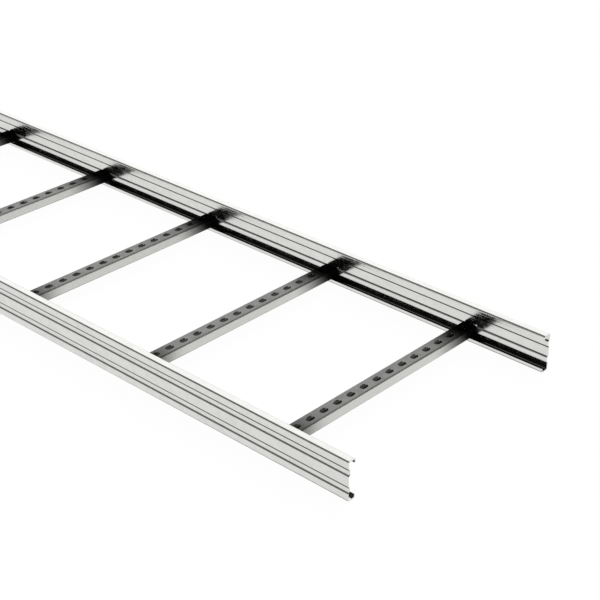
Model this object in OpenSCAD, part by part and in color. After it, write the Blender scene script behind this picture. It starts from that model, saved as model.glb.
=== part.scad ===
// Cable ladder section: two roll-formed side rails joined by slotted rungs.
// Millimetres. The rails run along X, the rungs along Y, and Z is up.
// The origin is at the middle of the ladder's plan, on the level that the rails stand on.

/* [Ladder] */
// Length of the section
ladder_length = 3000; // [1000:250:6000]
// Overall width, over the outer faces of the two rails
ladder_width = 396; // [200:1:900]
// Distance from the middle of one rung to the middle of the next
rung_pitch = 250; // [150:10:350]

/* [Side rail] */
// Height of the rail
rail_height = 55; // [52:1:90]
// Width of the rail's top and bottom flanges, measured over the web
flange_width = 12.5; // [11:0.5:20]
// Depth of the lips that close the flanges, measured over the flange
lip_depth = 6; // [4:0.5:9]
// Thickness of the rail's sheet
rail_sheet = 1.5; // [1:0.1:2]
// Inner radius of the rail's four corner bends
rail_bend = 1.2; // [0.5:0.1:2]

/* [Pressed grooves] */
// Width of each groove between the bend lines at its mouth
groove_mouth = 10.4; // [9:0.2:12]
// Depth of the grooves
groove_depth = 2; // [1.2:0.1:2.8]
// Inner radius of the bends along the grooves
groove_bend = 0.6; // [0.3:0.1:0.8]

/* [Rung] */
// Width of the rung, along the ladder
rung_width = 22; // [18:0.5:30]
// Height of the rung
rung_height = 15; // [12:0.5:18]
// Gap between the rung's underside and the top of the rail's lower lip
rung_clearance = 2; // [0:0.5:4]
// Thickness of the rung's sheet
rung_sheet = 1.5; // [1:0.1:2]
// Inner radius of the rung's bends
rung_bend = 0.8; // [0.3:0.1:1.5]
// Width of the open mouth under the rung
rung_mouth = 12; // [10:0.5:14]

/* [Slots] */
// Distance from the middle of one slot to the middle of the next
slot_pitch = 25; // [18:0.5:26]
// Length of each slot, along the rung
slot_length = 13; // [10:0.5:16]
// Width of each slot, across the rung
slot_width = 9; // [5:0.5:10]
// Least length of plain sheet between a rung's end and its first slot
slot_margin = 10; // [5:1:20]

/* [Hidden] */
$fn = 48;

RAIL_GREY = [0.80, 0.80, 0.78];
RUNG_GREY = [0.68, 0.68, 0.66];
// Spare length of anything that cuts right through a sheet
OVERCUT = 1;
// How far a groove's walls lean for each millimetre of depth: a slope of 3 to 4
GROOVE_LEAN = 0.75;

// The rungs are evenly spaced, and the two ends share what is left over.
rung_count = floor(ladder_length / rung_pitch);
first_rung = -(rung_count - 1) / 2 * rung_pitch;

// Each rung passes over the rails' lower lips and is welded to the ridge that the lower groove raises inside
// the rail, so that groove lies level with the rung's middle. The upper groove mirrors it in the rail's height.
rung_bottom = lip_depth + rung_clearance;
lower_groove = rung_bottom + rung_height / 2;
upper_groove = rail_height - lower_groove;
rung_length = ladder_width - 2 * (rail_sheet + groove_depth);

// One slot lies at the middle of each rung, with as many on both sides of it as there is room for.
slots_each_side = floor((rung_length / 2 - slot_length / 2 - slot_margin) / slot_pitch);

rung_names = [for (i = [1 : rung_count]) str("rung_", i < 10 ? "0" : "", i)];

// --- Bent sheet -------------------------------------------------------------------------------------------

function along(from, to) = (to - from) / norm(to - from);
function left_of(direction) = [-direction[1], direction[0]];
function turn(before, after) = atan2(cross(before, after), before * after);

// How far a bend's ends lie from its corner, along the middle of the sheet.
function setback(radius, angle) = radius * tan(abs(angle) / 2);

// One straight run of sheet, from one end of its middle line to the other.
module straight_run(from, to, sheet) {
    side = left_of(along(from, to)) * sheet / 2;
    polygon([from + side, from - side, to - side, to + side]);
}

// One bend of sheet, whose middle line has the given radius, between two directions.
module round_bend(corner, before, after, radius, sheet) {
    angle = turn(before, after);
    side = sign(angle);
    centre = corner - before * setback(radius, angle) + left_of(before) * side * radius;
    reach = 2 * (radius + sheet);
    start = -left_of(before) * side * reach;
    finish = -left_of(after) * side * reach;
    middle = (start + finish) / norm(start + finish) * reach;
    translate(centre) intersection() {
        difference() {
            circle(radius + sheet / 2);
            circle(radius - sheet / 2);
        }
        polygon([[0, 0], start, middle, finish]);
    }
}

// The section of a sheet bent along a middle line. Each place in path is [first, second, inner bend radius].
module bent_sheet(path, sheet) {
    last = len(path) - 1;
    points = [for (place = path) [place[0], place[1]]];
    runs = [for (i = [0 : last - 1]) along(points[i], points[i + 1])];
    radii = [for (place = path) place[2] + sheet / 2];
    backs = [for (i = [0 : last]) i == 0 || i == last ? 0 : setback(radii[i], turn(runs[i - 1], runs[i]))];
    for (i = [0 : last - 1])
        straight_run(points[i] + runs[i] * backs[i], points[i + 1] - runs[i] * backs[i + 1], sheet);
    for (i = [1 : last - 1])
        round_bend(points[i], runs[i - 1], runs[i], radii[i], sheet);
}

// --- Side rails -------------------------------------------------------------------------------------------

// Middle line of one groove, from below it to above it. The web's outer face lies at zero.
function groove_path(level) =
    let (web = rail_sheet / 2, ridge = web + groove_depth)
    let (mouth = groove_mouth / 2, floor_edge = mouth - groove_depth * GROOVE_LEAN)
    [
        [web, level - mouth, groove_bend],
        [ridge, level - floor_edge, groove_bend],
        [ridge, level + floor_edge, groove_bend],
        [web, level + mouth, groove_bend]
    ];

// Section of a rail, with its web's outer face at zero and its flanges towards the ladder's middle.
module rail_section() {
    web = rail_sheet / 2;
    lip = flange_width - rail_sheet / 2;
    foot = rail_sheet / 2;
    head = rail_height - rail_sheet / 2;
    lower_lip = [[lip, lip_depth, 0], [lip, foot, rail_bend], [web, foot, rail_bend]];
    upper_lip = [[web, head, rail_bend], [lip, head, rail_bend], [lip, rail_height - lip_depth, 0]];
    bent_sheet(concat(lower_lip, groove_path(lower_groove), groove_path(upper_groove), upper_lip), rail_sheet);
}

// A rail's length, standing on the level that the ladder stands on, against the ladder's left side.
module rail() {
    color(RAIL_GREY)
        translate([-ladder_length / 2, -ladder_width / 2, 0])
            rotate([90, 0, 90]) linear_extrude(ladder_length) rail_section();
}

module rail_left() {
    rail();
}

module rail_right() {
    mirror([0, 1, 0]) rail();
}

// --- Rungs ------------------------------------------------------------------------------------------------

// Section of a rung: a lipped channel with its mouth downwards.
module rung_section() {
    wall = (rung_width - rung_sheet) / 2;
    foot = rung_bottom + rung_sheet / 2;
    head = rung_bottom + rung_height - rung_sheet / 2;
    mouth = rung_mouth / 2;
    bent_sheet([
        [-mouth, foot, 0],
        [-wall, foot, rung_bend],
        [-wall, head, rung_bend],
        [wall, head, rung_bend],
        [wall, foot, rung_bend],
        [mouth, foot, 0]
    ], rung_sheet);
}

// What one slot takes out of the rung's top.
module slot_cut() {
    depth = rung_sheet + 2 * OVERCUT;
    end = (slot_length - slot_width) / 2;
    translate([0, 0, rung_bottom + rung_height - rung_sheet - OVERCUT]) {
        translate([-slot_width / 2, -end, 0]) cube([slot_width, 2 * end, depth]);
        for (side = [-1, 1])
            translate([0, side * end, 0]) cylinder(h = depth, d = slot_width);
    }
}

// The rung at the given place in the row, counted from zero at the ladder's low X end.
module rung(place) {
    color(RUNG_GREY)
        translate([first_rung + place * rung_pitch, 0, 0])
            difference() {
                translate([0, rung_length / 2, 0])
                    rotate([90, 0, 0]) linear_extrude(rung_length) rung_section();
                for (i = [-slots_each_side : slots_each_side])
                    translate([0, i * slot_pitch, 0]) slot_cut();
            }
}

// --- Assembly ---------------------------------------------------------------------------------------------

rail_left();
rail_right();
for (place = [0 : rung_count - 1])
    rung(place);
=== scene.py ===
"""Dresses a section of steel cable ladder: two grooved side rails joined by slotted rungs.

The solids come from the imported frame, in metres: X runs along the rails, Y across the ladder and Z up.
"""

import logging
import math
from dataclasses import dataclass
from enum import Enum
from typing import Any

import bpy
from mathutils import Matrix, Vector


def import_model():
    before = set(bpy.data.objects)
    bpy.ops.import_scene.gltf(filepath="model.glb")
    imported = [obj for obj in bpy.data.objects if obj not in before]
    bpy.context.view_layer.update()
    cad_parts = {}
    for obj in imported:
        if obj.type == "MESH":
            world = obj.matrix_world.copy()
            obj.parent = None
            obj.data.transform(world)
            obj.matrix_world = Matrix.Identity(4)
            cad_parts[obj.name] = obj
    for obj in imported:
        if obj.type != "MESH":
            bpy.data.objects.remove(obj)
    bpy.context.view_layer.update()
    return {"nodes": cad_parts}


LOG = logging.getLogger("cable_ladder")

# Ray depths that let one reflection through. The sky counts one step more than a surface does.
SURFACE_DEPTH = 1.5
SKY_DEPTH = 2.5

Colour = tuple[float, float, float]
Point = tuple[float, float, float]


class Slot(Enum):
    """The record's material slots."""

    RAIL = "rail_steel"
    RUNG = "rung_steel"


class Grain(Enum):
    """The direction in which a strip of steel was rolled."""

    ALONG_LADDER = 0
    ACROSS_LADDER = 1


class NodeSheet:
    """A short way to add nodes to one material's or world's node tree and join them."""

    def __init__(self, tree: bpy.types.NodeTree) -> None:
        """Empties the tree.

        Args:
            tree: The node tree to fill.
        """
        self.tree = tree
        tree.nodes.clear()

    def add(self, kind: str, settings: dict[str, Any] | None = None, **inputs: Any) -> bpy.types.Node:
        """Adds one node.

        Args:
            kind: The node's type, without the ShaderNode in front.
            settings: Attributes of the node itself.
            inputs: Values or other nodes' sockets for its inputs, named with _ for a blank.

        Returns:
            The new node.
        """
        node = self.tree.nodes.new("ShaderNode" + kind)
        for name, value in (settings or {}).items():
            setattr(node, name, value)
        for name, value in inputs.items():
            self.feed(node.inputs[name.replace("_", " ")], value)
        return node

    def feed(self, socket: bpy.types.NodeSocket, value: Any) -> None:
        """Gives a socket its value, or joins another node's socket to it.

        Args:
            socket: The input socket.
            value: A number, a tuple or an output socket.
        """
        if isinstance(value, bpy.types.NodeSocket):
            self.tree.links.new(value, socket)
        else:
            socket.default_value = value

    def math(self, operation: str, first: Any, second: Any = 0.0) -> bpy.types.NodeSocket:
        """Adds a sum of one or two values.

        Args:
            operation: Blender's name for the operation.
            first: The first value or socket.
            second: The second value or socket.

        Returns:
            The result's socket.
        """
        node = self.tree.nodes.new("ShaderNodeMath")
        node.operation = operation
        self.feed(node.inputs[0], first)
        self.feed(node.inputs[1], second)
        return node.outputs[0]

    def spread(
        self, value: Any, low: float, high: float, to_low: float, to_high: float
    ) -> bpy.types.NodeSocket:
        """Maps a range of values smoothly onto another, and holds what lies outside it.

        Args:
            value: The value or socket to map.
            low: The start of the range.
            high: The end of the range.
            to_low: The result at the start.
            to_high: The result at the end.

        Returns:
            The result's socket.
        """
        node = self.tree.nodes.new("ShaderNodeMapRange")
        node.interpolation_type = "SMOOTHSTEP"
        for socket, item in zip(node.inputs, (value, low, high, to_low, to_high)):
            self.feed(socket, item)
        return node.outputs[0]

    def seen_directly(self, limit: float) -> bpy.types.NodeSocket:
        """Adds a test that is 1 for what is seen directly or by one reflection, and otherwise 0.

        Args:
            limit: The ray depth below which it is 1: SURFACE_DEPTH or SKY_DEPTH.

        Returns:
            The result's socket.
        """
        rays = self.add("LightPath")
        return self.math("LESS_THAN", rays.outputs["Ray Depth"], limit)

    def blend(self, share: Any, first: Any, second: Any) -> bpy.types.NodeSocket:
        """Adds a mix of two colours.

        Args:
            share: The second colour's share.
            first: The first colour or socket.
            second: The second colour or socket.

        Returns:
            The result's socket.
        """
        node = self.tree.nodes.new("ShaderNodeMix")
        node.data_type = "RGBA"
        self.feed(node.inputs[0], share)
        self.feed(node.inputs[6], first)
        self.feed(node.inputs[7], second)
        return node.outputs[2]


def grey(level: float) -> tuple[float, float, float, float]:
    """Returns a neutral colour of the given linear level."""
    return (level, level, level, 1.0)


@dataclass(frozen=True)
class BendShade:
    """One band of painted shade along a bend line of the rails: its height, how far it reaches and the
    face that it is on.
    """

    height: float
    reach: float
    outside: bool


@dataclass(frozen=True)
class Hollow:
    """The inside of the rungs, where painted shade goes: their spacing, where it starts, its half width
    and its top.
    """

    pitch: float
    start: float
    half_width: float
    top: float


@dataclass(frozen=True)
class GalvanisedSteel:
    """Zinc-coated strip: faint spangle, fine rolling lines and a satin gloss.

    Painted shade can lower the tone on upward faces, towards a rung's ends, inside a rung and along bend
    lines.
    """

    name: str
    slot: Slot
    grain: Grain
    tint: Colour
    roughness: float
    spangle_size: float = 0.007
    spangle_tone: float = 0.035
    line_width: float = 0.0006
    line_length: float = 0.09
    line_tone: float = 0.03
    roughness_spread: float = 0.05
    bump_height: float = 0.00003
    bump_strength: float = 0.25
    crystal_share: float = 0.4
    # From here on, painted shade: bands along bend lines, darker upward faces, darker rung ends and a
    # darker rung inside.
    bend_shades: tuple[BendShade, ...] = ()
    bend_shade_core: float = 0.4
    bend_shade_tone: float = 0.12
    top_shade_tone: float = 1.0
    top_shade_tilt: tuple[float, float] = (0.75, 0.98)
    end_shade_from: float = 0.0
    end_shade_to: float = 0.0
    end_shade_tone: float = 1.0
    hollow: Hollow | None = None
    hollow_shade_tone: float = 0.12

    def make(self) -> bpy.types.Material:
        """Builds the node material.

        Returns:
            The material, ready to be given to a piece.
        """
        material = bpy.data.materials.new(self.name)
        material.use_nodes = True
        sheet = NodeSheet(material.node_tree)
        place = sheet.add("TexCoord").outputs["Object"]

        spangle = sheet.add("TexVoronoi", {"feature": "F1"}, Vector=place, Scale=1 / self.spangle_size)
        crystal = sheet.add("SeparateColor", Color=spangle.outputs["Color"]).outputs[0]
        along = 1 / self.line_length
        across = 1 / self.line_width
        stretch = (along, across, across) if self.grain is Grain.ALONG_LADDER else (across, along, across)
        lines_place = sheet.add("Mapping", Vector=place, Scale=stretch).outputs[0]
        lines = sheet.add("TexNoise", Vector=lines_place, Scale=1.0, Detail=3.0).outputs[0]
        cloud = sheet.add("TexNoise", Vector=place, Scale=14.0, Detail=3.0).outputs[0]

        tone = sheet.spread(crystal, 0.0, 1.0, 1 - self.spangle_tone, 1 + self.spangle_tone)
        rolling = sheet.spread(lines, 0.3, 0.7, 1 - self.line_tone, 1 + self.line_tone)
        tone = sheet.math("MULTIPLY", tone, rolling)
        axes = sheet.add("SeparateXYZ", Vector=place).outputs
        facing = sheet.add("SeparateXYZ", Vector=sheet.add("NewGeometry").outputs["Normal"]).outputs
        # Painted shade: faces that point up are made darker.
        if self.top_shade_tone < 1.0:
            tilt_from, tilt_to = self.top_shade_tilt
            top = sheet.spread(facing["Z"], tilt_from, tilt_to, 1.0, self.top_shade_tone)
            tone = sheet.math("MULTIPLY", tone, top)
        # Painted shade: the rungs grow darker towards both ends, where they meet the rails.
        if self.end_shade_to:
            out = sheet.math("ABSOLUTE", axes["Y"])
            end = sheet.spread(out, self.end_shade_from, self.end_shade_to, 1.0, self.end_shade_tone)
            tone = sheet.math("MULTIPLY", tone, end)
        # Painted shade on the faces inside the rungs.
        if self.hollow:
            inside = self.inside_rung(sheet, axes, self.hollow)
            tone = sheet.math("MULTIPLY", tone, sheet.spread(inside, 0.0, 1.0, 1.0, self.hollow_shade_tone))
        # Painted shade in bands along the rails' bend lines, on the outer or the inner faces.
        if self.bend_shades:
            bend = self.on_bend_shade(sheet, axes, facing)
            tone = sheet.math("MULTIPLY", tone, sheet.spread(bend, 0.0, 1.0, 1.0, self.bend_shade_tone))
        colour = sheet.add("VectorMath", {"operation": "SCALE"}, Vector=self.tint)
        sheet.feed(colour.inputs["Scale"], tone)

        low = self.roughness - self.roughness_spread
        high = self.roughness + self.roughness_spread
        crystals = sheet.math("MULTIPLY", crystal, self.crystal_share)
        clouds = sheet.math("MULTIPLY", cloud, 1 - self.crystal_share)
        mottle = sheet.math("ADD", crystals, clouds)
        gloss = sheet.spread(mottle, 0.25, 0.75, low, high)
        relief = sheet.math("ADD", sheet.math("MULTIPLY", lines, 0.5), sheet.math("MULTIPLY", cloud, 0.5))
        bump = sheet.add("Bump", Height=relief, Strength=self.bump_strength, Distance=self.bump_height)

        steel = sheet.add("BsdfPrincipled", Metallic=1.0)
        sheet.feed(steel.inputs["Base Color"], colour.outputs[0])
        sheet.feed(steel.inputs["Roughness"], gloss)
        sheet.feed(steel.inputs["Normal"], bump.outputs[0])
        output = sheet.add("OutputMaterial")
        sheet.feed(output.inputs["Surface"], steel.outputs[0])
        material.diffuse_color = (*self.tint, 1.0)
        return material

    @staticmethod
    def inside_rung(sheet: NodeSheet, axes: Any, hollow: Hollow) -> bpy.types.NodeSocket:
        """Adds a test that is 1 on the faces inside a rung, where painted shade goes.

        Args:
            sheet: The node tree.
            axes: The sockets of the place's X, Y and Z.
            hollow: The rungs' inside.

        Returns:
            The result's socket.
        """
        along = sheet.math("SUBTRACT", axes["X"], hollow.start)
        along_pitch = sheet.math("FLOORED_MODULO", along, hollow.pitch)
        off_middle = sheet.math("ABSOLUTE", sheet.math("SUBTRACT", along_pitch, hollow.pitch / 2))
        between_walls = sheet.math("LESS_THAN", off_middle, hollow.half_width)
        below_top = sheet.math("LESS_THAN", axes["Z"], hollow.top)
        return sheet.math("MULTIPLY", between_walls, below_top)

    def on_bend_shade(self, sheet: NodeSheet, axes: Any, facing: Any) -> bpy.types.NodeSocket:
        """Adds a value that rises to 1 along the bend lines, where painted shade goes.

        Args:
            sheet: The node tree.
            axes: The sockets of the place's X, Y and Z.
            facing: The sockets of the normal's X, Y and Z.

        Returns:
            The result's socket.
        """
        outer = sheet.math("GREATER_THAN", sheet.math("MULTIPLY", facing["Y"], axes["Y"]), 0.0)
        inner = sheet.math("SUBTRACT", 1.0, outer)
        bend: Any = 0.0
        for shade_band in self.bend_shades:
            away = sheet.math("ABSOLUTE", sheet.math("SUBTRACT", axes["Z"], shade_band.height))
            near = sheet.spread(away, shade_band.reach * self.bend_shade_core, shade_band.reach, 1.0, 0.0)
            side = outer if shade_band.outside else inner
            bend = sheet.math("MAXIMUM", bend, sheet.math("MULTIPLY", near, side))
        return bend


@dataclass
class SideRails:
    """The two rails, which are the CAD's own solids in their finish."""

    finish: GalvanisedSteel
    names: tuple[str, ...] = ("rail_left", "rail_right")

    def dress(self, nodes: dict[str, bpy.types.Object]) -> None:
        """Gives the rails their steel.

        Args:
            nodes: The frame's nodes by name.
        """
        steel = self.finish.make()
        for name in self.names:
            dress_node(nodes[name], steel)


@dataclass
class Rungs:
    """The rungs, which are the CAD's own solids in their finish."""

    finish: GalvanisedSteel
    prefix: str = "rung_"

    def dress(self, nodes: dict[str, bpy.types.Object]) -> None:
        """Gives the rungs their steel.

        Args:
            nodes: The frame's nodes by name.
        """
        steel = self.finish.make()
        for name in sorted(nodes):
            if name.startswith(self.prefix):
                dress_node(nodes[name], steel)


def dress_node(node: bpy.types.Object, material: bpy.types.Material) -> None:
    """Puts a finish on one CAD node.

    Args:
        node: The node's object.
        material: Its finish.
    """
    node.data.materials.clear()
    node.data.materials.append(material)
    LOG.info("%s: %s", node.name, material.name)


@dataclass
class Studio:
    """A pale floor, and a sky with a bright belt and one soft panel."""

    floor_size: float = 60.0
    floor_drop: float = 0.0005
    floor_tone: float = 0.12
    floor_glow: float = 0.97
    belt: tuple[float, float, float, float] = (-0.80, -0.62, 0.05, 0.45)
    belt_tone: float = 0.97
    pit_tone: float = 0.14
    sky_tone: float = 0.16
    deep_tone: float = 0.05
    panel_tone: float = 1.32
    panel_towards: Point = (-0.60, 0.64, 0.48)
    panel_inner: float = 0.30
    panel_outer: float = 0.62

    def build(self) -> None:
        """Makes the floor and the sky."""
        self.make_floor()
        self.make_sky()

    def make_floor(self) -> None:
        """Makes the floor, which looks white and keeps a faint shadow.

        The steel's reflections pass through it and show the bright belt of the sky.
        """
        half = self.floor_size / 2
        mesh = bpy.data.meshes.new("floor")
        corners = [(-half, -half, 0), (half, -half, 0), (half, half, 0), (-half, half, 0)]
        mesh.from_pydata(corners, [], [(0, 1, 2, 3)])
        floor = bpy.data.objects.new("floor", mesh)
        floor.location.z = -self.floor_drop
        bpy.context.scene.collection.objects.link(floor)

        material = bpy.data.materials.new("floor_white")
        material.use_nodes = True
        sheet = NodeSheet(material.node_tree)
        paper = sheet.add("BsdfDiffuse", Color=grey(self.floor_tone)).outputs[0]
        glow = sheet.add("Emission", Color=grey(1.0))
        direct = sheet.seen_directly(SURFACE_DEPTH)
        sheet.feed(glow.inputs["Strength"], sheet.math("MULTIPLY", direct, self.floor_glow))
        both = sheet.add("AddShader")
        sheet.feed(both.inputs[0], paper)
        sheet.feed(both.inputs[1], glow.outputs[0])
        open_to_steel = sheet.add("MixShader")
        sheet.feed(open_to_steel.inputs[0], sheet.add("LightPath").outputs["Is Glossy Ray"])
        sheet.feed(open_to_steel.inputs[1], both.outputs[0])
        sheet.feed(open_to_steel.inputs[2], sheet.add("BsdfTransparent").outputs[0])
        sheet.feed(sheet.add("OutputMaterial").inputs["Surface"], open_to_steel.outputs[0])
        mesh.materials.append(material)

    def make_sky(self) -> None:
        """Makes the sky: white to the camera, and grey with a bright belt and panel to the steel."""
        world = bpy.data.worlds.new("studio")
        bpy.context.scene.world = world
        world.use_nodes = True
        sheet = NodeSheet(world.node_tree)
        rays = sheet.add("LightPath")
        way = sheet.add("TexCoord").outputs["Generated"]
        toward = Vector(self.panel_towards).normalized()
        nearness = sheet.add("VectorMath", {"operation": "DOT_PRODUCT"})
        sheet.feed(nearness.inputs[0], way)
        sheet.feed(nearness.inputs[1], tuple(toward))
        tone = sheet.spread(
            nearness.outputs["Value"],
            math.cos(self.panel_outer),
            math.cos(self.panel_inner),
            self.sky_tone,
            self.panel_tone,
        )
        height = sheet.add("SeparateXYZ", Vector=way).outputs["Z"]
        foot, low, high, head = self.belt
        belt = sheet.math(
            "MULTIPLY",
            sheet.spread(height, foot, low, self.pit_tone, self.belt_tone),
            sheet.spread(height, high, head, 1.0, 0.0),
        )
        tone = sheet.math("MAXIMUM", tone, belt)
        level = sheet.blend(rays.outputs["Is Camera Ray"], tone, grey(1.0))
        background = sheet.add("Background", Color=level)
        seen = sheet.spread(sheet.seen_directly(SKY_DEPTH), 0.0, 1.0, self.deep_tone, 1.0)
        sheet.feed(background.inputs["Strength"], seen)
        sheet.feed(sheet.add("OutputWorld").inputs["Surface"], background.outputs[0])


@dataclass
class Viewpoint:
    """The camera: where it stands, how it is turned and its lens."""

    place: Point = (2.4000, -1.2490, 1.0182)
    heading: float = math.radians(42.819)
    fall: float = math.radians(28.662)
    focal_length: float = 1494.36 / 600 * 36.0
    sensor: float = 36.0

    def build(self) -> None:
        """Makes the camera and gives it to the scene."""
        data = bpy.data.cameras.new("camera")
        data.sensor_width = self.sensor
        data.lens = self.focal_length
        data.clip_end = 200.0
        camera = bpy.data.objects.new("camera", data)
        turn = Matrix.Rotation(self.heading, 4, "Z") @ Matrix.Rotation(math.pi / 2 - self.fall, 4, "X")
        camera.matrix_world = Matrix.Translation(self.place) @ turn
        bpy.context.scene.collection.objects.link(camera)
        bpy.context.scene.camera = camera


# Bands of painted shade along the rails' bend lines.
BEND_SHADES = (
    BendShade(0.0433, 0.0023, outside=True),
    BendShade(0.0193, 0.0023, outside=True),
    BendShade(0.0355, 0.0020, outside=False),
    BendShade(0.0118, 0.0016, outside=False),
)
RAIL_STEEL = GalvanisedSteel(
    "rail_galvanised", Slot.RAIL, Grain.ALONG_LADDER, (0.70, 0.70, 0.68), 0.20, bend_shades=BEND_SHADES
)
RUNG_STEEL = GalvanisedSteel(
    "rung_galvanised",
    Slot.RUNG,
    Grain.ACROSS_LADDER,
    (0.66, 0.66, 0.635),
    0.42,
    # Painted shade: darker tops, darker ends and a darker inside.
    top_shade_tone=0.36,
    end_shade_from=0.100,
    end_shade_to=0.178,
    end_shade_tone=0.03,
    hollow=Hollow(pitch=0.25, start=-1.5, half_width=0.0097, top=0.0218),
)


def main() -> None:
    """Loads the frame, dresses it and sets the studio."""
    logging.basicConfig(level=logging.INFO, format="%(name)s: %(message)s")
    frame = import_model()
    Viewpoint().build()
    Studio().build()
    SideRails(RAIL_STEEL).dress(frame["nodes"])
    Rungs(RUNG_STEEL).dress(frame["nodes"])
    bpy.context.scene.view_settings.view_transform = "Standard"


if __name__ == "__main__":
    main()
